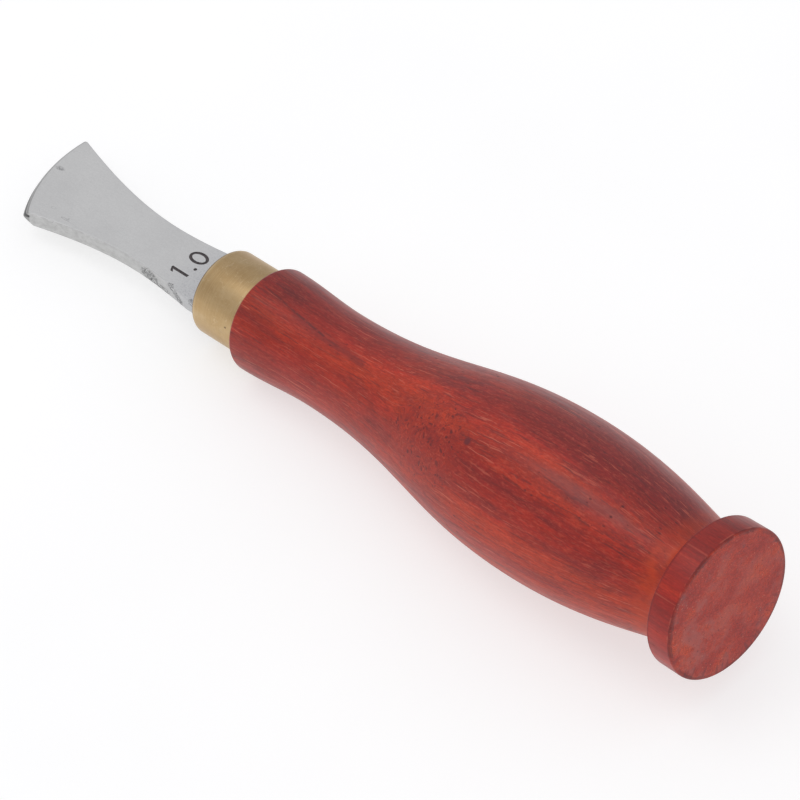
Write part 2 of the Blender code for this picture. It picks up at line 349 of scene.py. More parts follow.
def wood_places(g):
    """Where a point lies in the wood, and the same place once its grain has drifted."""
    w = SimpleNamespace()
    w.place = g.millimetres()
    w.x, w.y, w.z = g.axes(w.place)
    w.flat = g.stretched(w.place, 1.0, 1.0, 0.0)
    w.radius = g.vector("LENGTH", w.flat)
    outward = g.vector("NORMALIZE", w.flat)
    # The same place on a straight cylinder, 10 mm in radius: marks on it keep their length on the swell
    on_cylinder = g.vector("SCALE", outward, scale=SKIN_RADIUS)
    w.skin = g.vector("ADD", on_cylinder, g.stretched(w.place, 0.0, 0.0, 1.0))
    # How far round a point lies toward the darker upper side, and that side, weaker along the waist
    upper = g.math("SUBTRACT", g.product(w.y, 0.94), g.product(w.x, 0.34))
    w.lean = g.math("DIVIDE", upper, w.radius)
    toward_ends = g.math("MAXIMUM", g.between(w.z, 52.0, 24.0), g.between(w.z, 78.0, 90.0, 0.0, 0.5))
    w.upper = g.product(g.between(w.lean, 0.79, 1.0), g.between(toward_ends, 0.0, 1.0, 0.65, 1.0))

    # A burl between the belly and the waist swirls the grain round it.
    w.burl = g.near(w.place, BURL_AT, (0.92, 0.88, 0.72), 2.4, 7.6)
    drift = g.sway(g.stretched(w.place, 1.0, 1.0, 0.4), 0.05, 2.0, (4.0, 4.0, 0.0))
    w.swirl = g.sway(w.place, 0.50, 2.0, (1.0, 1.0, 1.0))
    swirled = g.vector("SCALE", w.swirl, scale=g.between(w.burl, 0.0, 1.0, 0.25, 4.0))
    offset = g.vector("ADD", drift, swirled)
    w.bent = g.vector("ADD", w.place, offset)
    w.skin_bent = g.vector("ADD", w.skin, offset)
    return w


def grain_colour(g, w):
    """Broad bands of hue, hazy purple bands in them, and two sizes of fibre."""
    broad = g.streaked(w.bent, (0.15, 0.15, 0.019), 3.0, 0.55)
    band = g.streaked(w.bent, (0.46, 0.46, 0.022), 4.0, 0.58)
    streak = g.streaked(w.bent, (1.15, 1.15, 0.055), 3.0, 0.62)
    w.fibre = g.streaked(w.bent, (2.8, 2.8, 0.26), 3.0, 0.65)
    w.hair = g.streaked(w.skin_bent, (5.6, 5.6, 1.2), 2.0, 0.65)
    mottle = g.streaked(w.skin_bent, (1.25, 1.25, 0.50), 3.0, 0.68)
    colour = g.ramp(broad, ((0.36, CRIMSON), (0.50, RED), (0.63, ORANGE)))
    colour = g.tint(colour, ORANGE, g.between(band, 0.56, 0.70), 0.40)
    colour = g.tint(colour, FLECK, g.between(mottle, 0.54, 0.68), 0.34)
    waist = g.product(g.between(w.z, 46.0, 58.0), g.between(w.z, 82.0, 68.0))
    colour = g.tint(colour, ORANGE, waist, 0.28)
    colour = g.tint(colour, PLUM, w.upper, 0.82)
    haze = g.product(g.between(band, 0.50, 0.34), g.between(w.upper, 0.0, 1.0, 0.38, 0.62))
    colour = g.mix(haze, colour, PURPLE)
    colour = g.tint(colour, WINE, g.between(mottle, 0.47, 0.32), 0.26)
    streaks = g.between(streak, 0.30, 0.70, 0.87, 1.13)
    fibres = g.between(w.fibre, 0.30, 0.70, 0.86, 1.14)
    colour = g.shaded(colour, streaks, fibres)
    colour = g.tint(colour, HAIR_PALE, g.between(w.hair, 0.52, 0.68), 0.34)
    colour = g.tint(colour, HAIR_DARK, g.between(w.hair, 0.48, 0.32), 0.42)
    colour = g.shaded(colour, g.between(w.z, 83.0, 92.0, 1.0, 0.90))
    # A lighter band runs along the belly and the waist, just below the dark upper side
    crest = g.product(g.between(w.lean, 0.66, 0.80), g.between(w.lean, 0.95, 0.84))
    crest = g.product(crest, g.between(w.z, 18.0, 32.0), g.between(w.z, 84.0, 70.0))
    return g.shaded(colour, g.between(crest, 0.0, 1.0, 1.0, 1.15))


def grain_lines(g, w, colour):
    """Short pale lines, partly pale fill in the grain and partly painted glints off the pores' edges, thin
    dark ones in the grain, and small open pores in loose groups.
    """
    thick = g.between(g.streaked(w.place, (0.20, 0.20, 0.07), 2.0), 0.42, 0.60, 0.25, 1.0)
    lines = g.streaked(g.vector("ADD", w.skin_bent, (31.0, 17.0, 5.0)), (3.9, 3.9, 0.17), 1.5)
    # The short pale lines are pale fill in the grain together with painted glints off the pores' edges
    pale = g.product(g.between(lines, 0.61, 0.69), thick, g.between(w.burl, 0.5, 0.0), 0.66)
    colour = g.mix(pale, colour, PALE_AND_GLINT)
    lines = g.streaked(g.vector("ADD", w.skin_bent, (7.0, 43.0, 11.0)), (3.6, 3.6, 0.14), 1.5)
    colour = g.tint(colour, PORE, g.between(lines, 0.61, 0.70), 0.50)
    gap, chance = g.cells(g.stretched(w.skin_bent, 1.7, 1.7, 0.75))
    groups = g.between(g.streaked(w.place, (0.12, 0.12, 0.06), 2.0), 0.44, 0.62)
    pore_size = g.product(g.between(chance[0], 0.45, 1.0, 0.0, 0.26, smooth=False), groups)
    return colour, g.between(g.math("SUBTRACT", pore_size, gap), -0.04, 0.05)


def burl_colour(g, w, colour):
    """The burl's curled grain with small dark eyes, and one round pin knot beside it."""
    curled = g.vector("ADD", w.place, g.vector("SCALE", w.swirl, scale=3.0))
    curl = g.noise(curled, 2.1, 4.0, 0.72)
    colour = g.tint(colour, ORANGE, w.burl, 0.22)
    colour = g.tint(colour, CURL_PALE, w.burl, g.between(curl, 0.53, 0.62), 0.42)
    colour = g.tint(colour, CURL_DARK, w.burl, g.between(curl, 0.48, 0.38), 0.42)
    eye_gap, eye_chance = g.cells(curled, 1.25)
    clump = g.between(g.noise(w.place, 0.30, 2.0), 0.40, 0.54, 0.30, 1.0)
    eye = g.product(g.between(eye_gap, 0.42, 0.22), g.between(eye_chance[2], 0.15, 0.45), clump)
    stain = g.product(w.burl, g.between(g.noise(w.place, 0.42, 3.0), 0.48, 0.60), 0.33)
    colour = g.mix(stain, colour, STAIN)
    colour = g.tint(colour, EYE, g.between(w.burl, 0.02, 0.40), eye, 0.86)
    knot = g.near(w.place, KNOT_AT, (1.0, 1.0, 1.0), 0.35, 0.78)
    return g.tint(colour, KNOT, knot, 0.72)


def skin_marks(g, w, colour, pore):
    """Marks along the skin: a greyish band by the neck, painted as a highlight, a dark crack near the
    shoulder, and single pits.
    """
    # Painted highlight: a long greyish band on the belly by the neck stands in for the lamp's sheen
    painted_sheen = g.near(w.skin, on_skin(65, 21.0), (1.0, 1.0, 0.070), 0.30, 1.15)
    painted_sheen = g.product(painted_sheen, g.between(w.fibre, 0.35, 0.60, 0.70, 1.0), 0.48)
    colour = g.mix(painted_sheen, colour, GREY_SHEEN)
    crack = g.along(w.skin, on_skin(82, 95.0), on_skin(70, 79.8), 0.05, 0.36)
    crack = g.product(crack, g.between(g.noise(w.skin, 0.9, 2.0), 0.34, 0.50))
    shade = g.product(g.along(w.skin, on_skin(72, 86.0), on_skin(66, 71.0), 0.3, 1.3), 0.38)
    colour = g.mix(shade, colour, PURPLE)
    colour = g.tint(colour, PORE, crack, 0.62)
    cleft = g.along(w.skin_bent, on_skin(69, 26.0), on_skin(70, 23.3), 0.00, 0.20)
    pits = [g.near(w.skin, on_skin(*pit), (1.0, 1.0, 0.6), 0.04, 0.24) for pit in PITS]
    pore = g.math("MAXIMUM", g.product(pore, 0.72), g.highest(cleft, *pits))
    return g.tint(colour, PORE, pore, 0.85), pore


def on_skin(degrees, along_mm):
    """A place on the wood's straight cylinder, from its angle round the tool and its distance along."""
    angle = math.radians(degrees)
    return (SKIN_RADIUS * math.cos(angle), SKIN_RADIUS * math.sin(angle), along_mm)


def neck_and_disc(g, w, colour):
    """The neck glows orange; the disc's side is banded, with pale lines straight across it, and painted shade
    darkens the corner by the neck and the disc's front rim.
    """
    neck = g.product(g.between(w.z, 5.0, 6.6), g.between(w.z, 10.8, 7.4))
    neck = g.product(neck, g.between(w.upper, 0.0, 1.0, 1.0, 0.45))
    glow = g.between(g.noise(w.skin, 0.35, 3.0), 0.36, 0.60, 0.45, 1.25)
    neck = g.product(neck, glow, g.between(w.x, 11.5, 6.0, 0.55, 1.0))
    colour = g.tint(colour, NECK_GLOW, neck, 0.62)
    stripe = g.streaked(w.skin, (0.50, 0.50, 0.0), 4.0, 0.62)
    side_colour = g.ramp(stripe, DISC_TONES)
    fibres, hairs = (g.between(grain, 0.30, 0.70, 0.88, 1.12) for grain in (w.fibre, w.hair))
    side_colour = g.shaded(side_colour, fibres, hairs)
    side_colour = g.shaded(side_colour, g.between(w.x, -4.0, 12.0, 0.82, 1.18, smooth=False))
    side_line = g.between(g.streaked(w.skin, (1.9, 1.9, 0.02), 1.0), 0.66, 0.71)
    side_colour = g.tint(side_colour, PALE_AND_GLINT, side_line, 0.42)
    colour = g.mix(g.product(g.between(w.z, 4.75, 4.55), 0.88), colour, side_colour)
    # Painted shade: dark in the corner where the disc meets the neck, and on the disc's front rim
    corner = g.between(g.away(w.z, 4.85), 0.7, 0.1)
    corner = g.product(corner, g.between(w.radius, 11.3, 10.0))
    colour = g.tint(colour, DISC_CORNER_SHADE, corner, 0.60)
    front_rim = g.product(g.between(w.z, 3.90, 4.30), g.between(w.z, 4.90, 4.70))
    return g.tint(colour, DISC_RIM_SHADE, front_rim, 0.50), front_rim


def butt_face(g, w, colour):
    """End grain over the colour on the flat face of the butt: speckled, hazy, with a dark ragged rim and a
    painted highlight just over its edge.
    """
    face = g.between(w.z, 0.24, 0.08)
    cloud = g.streaked(w.flat, (0.15, 0.22, 1.0), 4.0, 0.6)
    end = g.ramp(cloud, END_TONES)
    grain = g.noise(w.flat, 2.0, 3.0, 0.75)
    sand = g.noise(w.flat, 5.0, 2.0, 0.7)
    end = g.shaded(end, g.between(grain, 0.36, 0.64, 0.84, 1.16), g.between(sand, 0.36, 0.64, 0.80, 1.22))
    haze = g.between(g.noise(w.flat, 0.20, 4.0, 0.65), 0.44, 0.62)
    haze = g.product(haze, g.between(w.x, -7.0, 9.0, 0.45, 0.9), 0.70)
    end = g.mix(haze, end, END_HAZE)
    smudge = g.between(g.noise(w.flat, 0.42, 4.0, 0.7), 0.55, 0.66)
    smudge = g.product(smudge, g.between(w.radius, 5.0, 10.5), 0.45)
    end = g.mix(smudge, end, END_SMUDGE)
    gap, chance = g.cells(w.flat, 1.35)
    hole = g.product(g.between(gap, 0.22, 0.08), g.between(chance[0], 0.50, 0.80), 0.70)
    end = g.mix(hole, end, PORE)
    gap, chance = g.cells(g.vector("ADD", w.flat, (9.0, 4.0, 0.0)), 1.7)
    dot = g.product(g.between(gap, 0.26, 0.08), g.between(chance[1], 0.45, 0.75))
    dot = g.product(dot, g.between(w.radius, 4.0, 10.5, 0.35, 1.0))
    end = g.tint(end, END_DOT, dot, 0.50)
    # Rays run in from the rim on the lower side
    around = g.product(g.math("ARCTAN2", w.y, w.x), 16.0)
    ray_place = {"X": around, "Y": g.product(w.radius, 0.30)}
    ray_place = g.node("ShaderNodeCombineXYZ", ray_place).outputs[0]
    rays = g.product(g.between(g.noise(ray_place, 1.0, 2.0), 0.54, 0.66), g.between(w.radius, 8.2, 10.6))
    end = g.tint(end, PURPLE, rays, g.between(w.y, 2.0, -7.0), 0.55)
    colour = g.mix(face, colour, end)
    # The rim: dark and ragged in patches, with a painted highlight, a broken pale line just over its edge
    jag = g.math("SUBTRACT", g.noise(w.place, 1.3, 4.0, 0.75), 0.5)
    ragged = g.math("ADD", w.radius, g.product(jag, 1.3))
    patchy = g.between(g.noise(w.flat, 0.30, 3.0), 0.40, 0.60, 0.10, 1.0)
    rim = g.product(g.between(ragged, 11.38, 11.66), g.between(w.z, 0.42, 0.22))
    colour = g.tint(colour, PORE, rim, patchy, 0.60)
    rim_highlight = g.between(g.away(w.z, 0.34), 0.18, 0.05)
    broken = g.between(g.noise(w.place, 0.8, 3.0), 0.46, 0.60)
    rim_highlight = g.product(rim_highlight, g.between(w.radius, 11.5, 11.8), broken)
    return g.tint(colour, PALE_AND_GLINT, rim_highlight, 0.35), face


# Brass: from its duller to its brighter patches, how it was worked, its marks, and a painted glint and
# painted shade at its edges
BRASS_TONES = ((0.34, (0.475, 0.318, 0.152)), (0.52, (0.525, 0.362, 0.182)), (0.68, (0.580, 0.425, 0.240)))
TURNED_BRASS, RUBBED_BRASS, SMUDGED_BRASS = (0.66, 0.51, 0.31), (0.37, 0.245, 0.120), (0.42, 0.30, 0.20)
BRASS_SCRATCH, BRASS_GLINT = (0.78, 0.66, 0.46), (0.70, 0.58, 0.40)
TARNISH, BRASS_EDGE_SHADE = (0.09, 0.055, 0.035), (0.090, 0.058, 0.035)


def brass():
    """Satin brass: a turned tube, rubbed with fine abrasive."""
    g = Graph("brass")
    place = g.millimetres()
    _, y, z = g.axes(place)
    radius = g.vector("LENGTH", g.stretched(place, 1.0, 1.0, 0.0))
    turning = g.streaked(place, (0.12, 0.12, 7.0), 4.0, 0.7)
    swayed = g.vector("ADD", place, g.sway(place, 0.3, 1.0, (0.0, 0.0, 3.0)))
    rubbed = g.streaked(swayed, (3.0, 3.0, 2.0), 4.0, 0.75)
    cloud = g.streaked(place, (0.26, 0.26, 0.12), 3.0, 0.55)
    smudge = g.noise(place, 0.9, 4.0, 0.7)
    colour = g.ramp(cloud, BRASS_TONES)
    colour = g.mix(g.between(turning, 0.44, 0.66, 0.0, 0.30), colour, TURNED_BRASS)
    colour = g.mix(g.between(rubbed, 0.50, 0.30, 0.0, 0.30), colour, RUBBED_BRASS)
    colour = g.mix(g.between(smudge, 0.58, 0.76, 0.0, 0.30), colour, SMUDGED_BRASS)
    # Painted shade: darker toward the top of the tube
    colour = g.shaded(colour, g.between(y, 3.5, 6.6, 1.0, 0.87))
    wander = g.streaked(place, (0.35, 0.35, 1.3), 1.0, 0.4)
    scratch = g.between(g.away(wander, 0.5), 0.010, 0.0)
    colour = g.tint(colour, BRASS_SCRATCH, scratch, 0.30)
    # One pit of tarnish low on the side; painted shade darkens the edges where the tube ends, and a painted
    # glint lies just behind the front
    pit = g.near(place, (7.0, 1.65, 98.1), (1.0, 1.0, 1.0), 0.12, 0.26)
    colour = g.tint(colour, TARNISH, pit, 0.85)
    front = g.math("MAXIMUM", g.between(z, FRONT_MM - 0.34, FRONT_MM - 0.20), g.between(radius, 6.6, 6.4))
    colour = g.tint(colour, BRASS_EDGE_SHADE, front, 0.85)
    front_glint = g.between(g.away(z, FRONT_MM - 0.45), 0.28, 0.05)
    colour = g.tint(colour, BRASS_GLINT, front_glint, 0.25)
    rough = g.between(turning, 0.3, 0.7, 0.34, 0.46, smooth=False)
    height = g.math("ADD", g.product(turning, 0.5), g.product(rubbed, 0.5))
    g.surface(Base_Color=colour, Metallic=1.0, Roughness=rough, Normal=g.bump(height, 0.00002, 0.5))
    return g.material


# The steel's flat, its milled sides and its duller places, with painted shade in the crease and on the lip
FLAT_TONES = ((0.36, (0.668, 0.668, 0.662)), (0.64, (0.702, 0.702, 0.694)))
SIDE_TONES = ((0.36, (0.455, 0.455, 0.450)), (0.60, (0.555, 0.555, 0.550)))
DULL_CORNER, BLUED, ETCHED = (0.400, 0.400, 0.396), (0.560, 0.566, 0.585), (0.330, 0.335, 0.360)
SCALE, LIP_SHADE, CREASE_SHADE = (0.050, 0.051, 0.056), (0.170, 0.170, 0.168), (0.050, 0.050, 0.052)
NICK, SCRATCH = (0.150, 0.150, 0.155), (0.28, 0.28, 0.28)


def steel():
    """Hardened steel, finely ground along the blade, with mill scale left on one side of the shank."""
    g = Graph("steel")
    place = g.millimetres()
    grain = g.streaked(place, (6.0, 6.0, 0.5), 3.0, 0.6)
    speckle = g.noise(place, 5.0, 3.0, 0.7)
    colour = ground_steel(g, place, grain, speckle)
    colour, scale = mill_scale(g, place, colour)
    colour = edge_shade_and_nick(g, place, colour)
    # A few light scratches, most of them toward the lower front corner
    wander = g.streaked(place, (0.5, 0.5, 0.22), 1.0, 0.4)
    scratch = g.between(g.away(wander, 0.5), 0.005, 0.0)
    where = g.near(place, (6.5, 1.3, 139.0), (1.0, 1.0, 0.5), 0.5, 3.6)
    colour = g.tint(colour, SCRATCH, scratch, g.between(where, 0.0, 1.0, 0.10, 0.55))
    rough = g.between(grain, 0.3, 0.7, 0.38, 0.46, smooth=False)
    rough = g.math("ADD", rough, g.product(scale, 0.25))
    height = g.math("ADD", g.product(grain, 0.5), g.product(speckle, 0.5))
    g.surface(Base_Color=colour, Metallic=1.0, Roughness=rough, Normal=g.bump(height, 0.000010, 0.25))
    return g.material


def ground_steel(g, place, grain, speckle):
    """The ground flats, the milled sides and the dull corners between them, a little blue by the ferrule."""
    _, _, z = g.axes(place)
    cloud = g.noise(place, 0.10, 2.0, 0.5)
    grained = g.between(grain, 0.30, 0.70, 0.98, 1.02)
    colour = g.shaded(g.ramp(cloud, FLAT_TONES), grained, g.between(speckle, 0.30, 0.70, 0.96, 1.04))
    level = g.math("ABSOLUTE", g.axes(g.facing())[1])
    corner = g.product(g.between(level, 0.999, 0.97), g.between(level, 0.25, 0.50))
    colour = g.tint(colour, DULL_CORNER, corner, 0.40)
    milled = g.streaked(place, (2.4, 1.2, 0.70), 4.0, 0.7)
    colour = g.mix(g.between(level, 0.85, 0.50), colour, g.ramp(milled, SIDE_TONES))
    by_ferrule = g.between(z, 117.0, 107.5)
    etched = g.product(by_ferrule, g.between(g.noise(place, 3.2, 4.0, 0.75), 0.50, 0.62))
    colour = g.tint(colour, BLUED, by_ferrule, 0.45)
    return g.tint(colour, ETCHED, etched, 0.40)


def mill_scale(g, place, colour):
    """Scale on one side of the shank: a patch, a thin trail from it, a stroke down the side and a spot."""
    patches = g.highest(
        g.near(place, (5.0, -0.1, 118.0), (0.8, 0.72, 0.42), 0.4, 1.15),
        g.along(place, (5.2, -0.8, 116.6), (5.5, -0.9, 113.4), 0.2, 0.75),
        g.along(place, (5.5, 1.1, 112.4), (5.8, -0.6, 110.1), 0.2, 0.95),
        g.near(place, (5.85, 0.8, 107.2), (1.0, 1.0, 1.0), 0.2, 0.90),
    )
    ridges = g.streaked(place, (1.8, 1.8, 1.1), 4.0, 0.70)
    scale = g.between(g.away(ridges, 0.5), 0.045, 0.015)
    scale = g.product(g.math("MAXIMUM", scale, g.between(ridges, 0.58, 0.63)), g.between(patches, 0.10, 0.55))
    return g.tint(colour, SCALE, scale, 0.78), scale


def edge_shade_and_nick(g, place, colour):
    """The crease and the lip in front of it are darkened with painted shade, and one nick lies behind the
    lip.
    """
    _, y, _ = g.axes(place)
    from_centre = g.vector("LENGTH", g.stretched(g.vector("SUBTRACT", place, EDGE_CENTRE_MM), 1.0, 0.0, 1.0))
    behind = g.math("SUBTRACT", EDGE_RADIUS / MM, from_centre)
    # Painted shade on the lip and in the crease of the working edge
    lip = g.between(behind, 1.16, 0.95)
    colour = g.tint(colour, LIP_SHADE, lip, 0.48)
    crease = g.product(g.between(behind, 1.30, 1.0), g.between(g.away(y, 0.50), 0.34, 0.20))
    colour = g.tint(colour, CREASE_SHADE, crease, 0.62)
    nick = g.near(place, (-2.5, 1.3, 147.3), (1.2, 1.0, 0.55), 0.05, 0.75)
    nick = g.product(nick, g.between(g.noise(place, 2.0, 3.0, 0.7), 0.46, 0.60))
    return g.tint(colour, NICK, nick, 0.75)


def etched_mark():
    """The dark floor of the size numeral, burnt into the steel."""
    g = Graph("etched_mark")
    burn = g.noise(g.millimetres(), 3.0, 4.0, 0.7)
    colour = g.ramp(burn, ((0.35, (0.040, 0.034, 0.035)), (0.70, (0.115, 0.098, 0.098))))
    g.surface(Base_Color=colour, Roughness=g.between(burn, 0.3, 0.7, 0.55, 0.75), Metallic=0.2)
    return g.material


def cured_resin():
    """Amber resin, cloudy with wood dust."""
    g = Graph("cured_resin")
    place = g.millimetres()
    cloud = g.noise(place, 0.8, 4.0, 0.65)
    tones = ((0.34, (0.20, 0.105, 0.030)), (0.55, (0.36, 0.215, 0.070)), (0.72, (0.46, 0.30, 0.12)))
    colour = g.ramp(cloud, tones)
    rough = g.between(cloud, 0.3, 0.7, 0.22, 0.42)
    g.surface(Base_Color=colour, Roughness=rough, Normal=g.bump(g.noise(place, 1.6, 3.0), 0.00008, 0.5))
    return g.material


def paper():
    """A pale seamless floor, lit a little from beneath as a product table is."""
    g = Graph("floor")
    fine = g.noise(g.millimetres(), 0.02, 3.0)
    colour = g.ramp(fine, ((0.3, (0.46, 0.46, 0.46)), (0.7, (0.48, 0.48, 0.48))))
    g.surface(Base_Color=colour, Roughness=0.9, Emission_Color=(1.0, 1.0, 1.0), Emission_Strength=FLOOR_GLOW)
    return g.material


# ---------------------------------------------------------------- shapes


def on_curve(points, t):
    """The point of a cubic curve at its parameter t, from its start, its two handles and its end."""
    weights = ((1 - t) ** 3, 3 * t * (1 - t) ** 2, 3 * t * t * (1 - t), t**3)
    return tuple(sum(w * p[k] for w, p in zip(weights, points)) for k in (0, 1))


def bezier(start, handle_1, handle_2, end, count):
    """Points along a cubic curve, its end left out so that the next run can begin there."""
    return [on_curve((start, handle_1, handle_2, end), i / count) for i in range(count)]


def quarter_round(centre, radius, from_degrees, to_degrees, count=6):
    """Points of a rounded corner, both ends included."""
    found = []
    for i in range(count + 1):
        angle = math.radians(from_degrees + (to_degrees - from_degrees) * i / count)
        found.append((centre[0] + radius * math.cos(angle), centre[1] + radius * math.sin(angle)))
    return found


def linked(name, data):
    """A new object in the scene."""
    obj = bpy.data.objects.new(name, data)
    bpy.context.scene.collection.objects.link(obj)
    return obj


def finished(build, name):
    """The mesh of a bmesh, with its faces turned outward."""
    bmesh.ops.recalc_face_normals(build, faces=build.faces)
    mesh = bpy.data.meshes.new(name)
    build.to_mesh(mesh)
    build.free()
    return mesh


def turned(name, profile, material, closed=False):
    """A profile of (radius, height) points, turned about the tool's axis."""
    mesh = bpy.data.meshes.new(name)
    count = len(profile)
    edges = [(i, i + 1) for i in range(count - 1)] + ([(count - 1, 0)] if closed else [])
    mesh.from_pydata([(radius, 0.0, height) for radius, height in profile], edges, [])
    obj = linked(name, mesh)
    screw = obj.modifiers.new("Turn", "SCREW")
    screw.axis = "Z"
    screw.steps = TURNED_STEPS
    screw.render_steps = TURNED_STEPS
    screw.use_merge_vertices = True
    screw.merge_threshold = 0.002 * MM
    screw.use_smooth_shade = True
    made = solid_mesh(obj, name)
    bpy.data.objects.remove(obj, do_unlink=True)
    made.data.transform(TOOL)
    made.data.set_sharp_from_angle(angle=math.radians(TURNED_SHARP))
    made.data.materials.append(material)
    return made


def solid_mesh(obj, name):
    """The object as its modifiers leave it, as a new mesh object in the same place."""
    bpy.context.view_layer.update()
    graph = bpy.context.evaluated_depsgraph_get()
    mesh = bpy.data.meshes.new_from_object(obj.evaluated_get(graph))
    mesh.name = name
    made = linked(name, mesh)
    made.matrix_world = obj.matrix_world
    return made


def handle_profile():
    """From the end of the bore, up its wall, over the spigot and down the outside to the butt."""
    spigot_end = HANDLE_LENGTH + SPIGOT_LENGTH
    points = [
        (0.0, BORE_END),
        (BORE_RADIUS, BORE_END + 0.5 * BORE_RADIUS),
        (BORE_RADIUS, spigot_end - BORE_CHAMFER),
        (BORE_RADIUS + BORE_CHAMFER, spigot_end),
        (SPIGOT_RADIUS - SPIGOT_CHAMFER, spigot_end),
        (SPIGOT_RADIUS, spigot_end - SPIGOT_CHAMFER),
        (SPIGOT_RADIUS, HANDLE_LENGTH),
    ]
    shoulder = (SHOULDER_RADIUS - SHOULDER_ROUND, HANDLE_LENGTH - SHOULDER_ROUND)
    points += quarter_round(shoulder, SHOULDER_ROUND, 90, 0, 10)
    points += bezier(
        (SHOULDER_RADIUS, HANDLE_LENGTH - SHOULDER_ROUND - 0.5 * MM),
        (SHOULDER_RADIUS - 0.05 * MM, WAIST_AT + 9.0 * MM),
        (WAIST_RADIUS, WAIST_AT + 5.0 * MM),
        (WAIST_RADIUS, WAIST_AT),
        16,
    )
    points += bezier(
        (WAIST_RADIUS, WAIST_AT),
        (WAIST_RADIUS, WAIST_AT - 21.0 * MM),
        (BELLY_RADIUS, BELLY_AT + 20.0 * MM),
        (BELLY_RADIUS, BELLY_AT),
        44,
    )
    points += bezier(
        (BELLY_RADIUS, BELLY_AT),
        (BELLY_RADIUS + 0.03 * MM, 20.7 * MM),
        (10.3 * MM, 11.5 * MM),
        (NECK_RADIUS, NECK_AT),
        32,
    )
    points += bezier(
        (NECK_RADIUS, NECK_AT),
        (NECK_RADIUS - 0.16 * MM, NECK_AT - 0.95 * MM),
        (NECK_RADIUS + 0.19 * MM, POMMEL_THICKNESS),
        (NECK_RADIUS + 1.60 * MM, POMMEL_THICKNESS),
        14,
    )
    front_rim = (POMMEL_RADIUS - DISC_TAPER - DISC_FRONT_ROUND, POMMEL_THICKNESS - DISC_FRONT_ROUND)
    points += quarter_round(front_rim, DISC_FRONT_ROUND, 90, 0, 8)
    points += quarter_round((POMMEL_RADIUS - DISC_BACK_ROUND, DISC_BACK_ROUND), DISC_BACK_ROUND, 0, -90)
    points += [(POMMEL_RADIUS * share, 0.0) for share in (0.8, 0.5, 0.2)]
    points.append((0.0, 0.0))
    return points


def ferrule_profile():
    """A tube with rounded edges, from its front inner edge over the outside and back."""
    back = HANDLE_LENGTH + BUTT_JOINT
    front = back + FERRULE_LENGTH
    outer_round, inner_round, back_round = 0.35 * MM, 0.15 * MM, 0.12 * MM
    points = quarter_round((FERRULE_BORE + inner_round, front - inner_round), inner_round, 180, 90, 4)
    points += quarter_round((FERRULE_RADIUS - outer_round, front - outer_round), outer_round, 90, 0, 8)
    points += quarter_round((FERRULE_RADIUS - back_round, back + back_round), back_round, 0, -90, 4)
    points.append((FERRULE_BORE, back))
    return points


def blade_half_width(at):
    """Half the blade's width at a distance along the tool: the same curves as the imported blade's plan."""
    runs = (
        (
            (SHANK_STRAIGHT, SHANK_HALF),
            (SHANK_STRAIGHT + 4.5 * MM, SHANK_HALF - 0.57 * MM),
            (BLADE_WAIST_AT - 4.5 * MM, BLADE_WAIST_HALF),
            (BLADE_WAIST_AT, BLADE_WAIST_HALF),
        ),
        (
            (BLADE_WAIST_AT, BLADE_WAIST_HALF),
            (BLADE_WAIST_AT + 9.5 * MM, BLADE_WAIST_HALF),
            (FAN_AT - 9.0 * MM, FAN_HALF - 9.0 * MM * FAN_SLOPE),
            (FAN_AT, FAN_HALF),
        ),
    )
    if at <= SHANK_STRAIGHT:
        return SHANK_HALF
    if at >= FAN_AT:
        return FAN_HALF + (at - FAN_AT) * FAN_SLOPE
    points = runs[0] if at < BLADE_WAIST_AT else runs[1]
    low, high = 0.0, 1.0
    for _ in range(HALVINGS):
        t = (low + high) / 2
        if on_curve(points, t)[0] < at:
            low = t
        else:
            high = t
    return on_curve(points, t)[1]


def edge_section():
    """The working edge from the top flat to the under flat, as (distance behind the crest, height)."""
    half = BLADE_THICKNESS / 2
    return [
        (1.12 * MM, half),
        (1.05 * MM, half - 0.012 * MM),
        (0.94 * MM, half - 0.055 * MM),
        (0.80 * MM, 1.13 * MM),
        (0.68 * MM, 1.05 * MM),
        (0.60 * MM, 0.97 * MM),
        (0.55 * MM, 0.87 * MM),
        (0.57 * MM, 0.79 * MM),
        (0.64 * MM, 0.74 * MM),
        (0.95 * MM, 0.70 * MM),
        (1.03 * MM, 0.62 * MM),
        (1.05 * MM, 0.52 * MM),
        (1.03 * MM, 0.42 * MM),
        (0.95 * MM, 0.34 * MM),
        (0.22 * MM, 0.25 * MM),
        (0.08 * MM, 0.20 * MM),
        (0.01 * MM, 0.12 * MM),
        (0.00 * MM, 0.04 * MM),
        (0.06 * MM, -0.07 * MM),
        (0.20 * MM, -0.22 * MM),
        (0.75 * MM, -0.71 * MM),
        (1.20 * MM, -1.08 * MM),
        (1.35 * MM, -half + 0.055 * MM),
        (1.44 * MM, -half + 0.012 * MM),
        (1.50 * MM, -half),
    ]


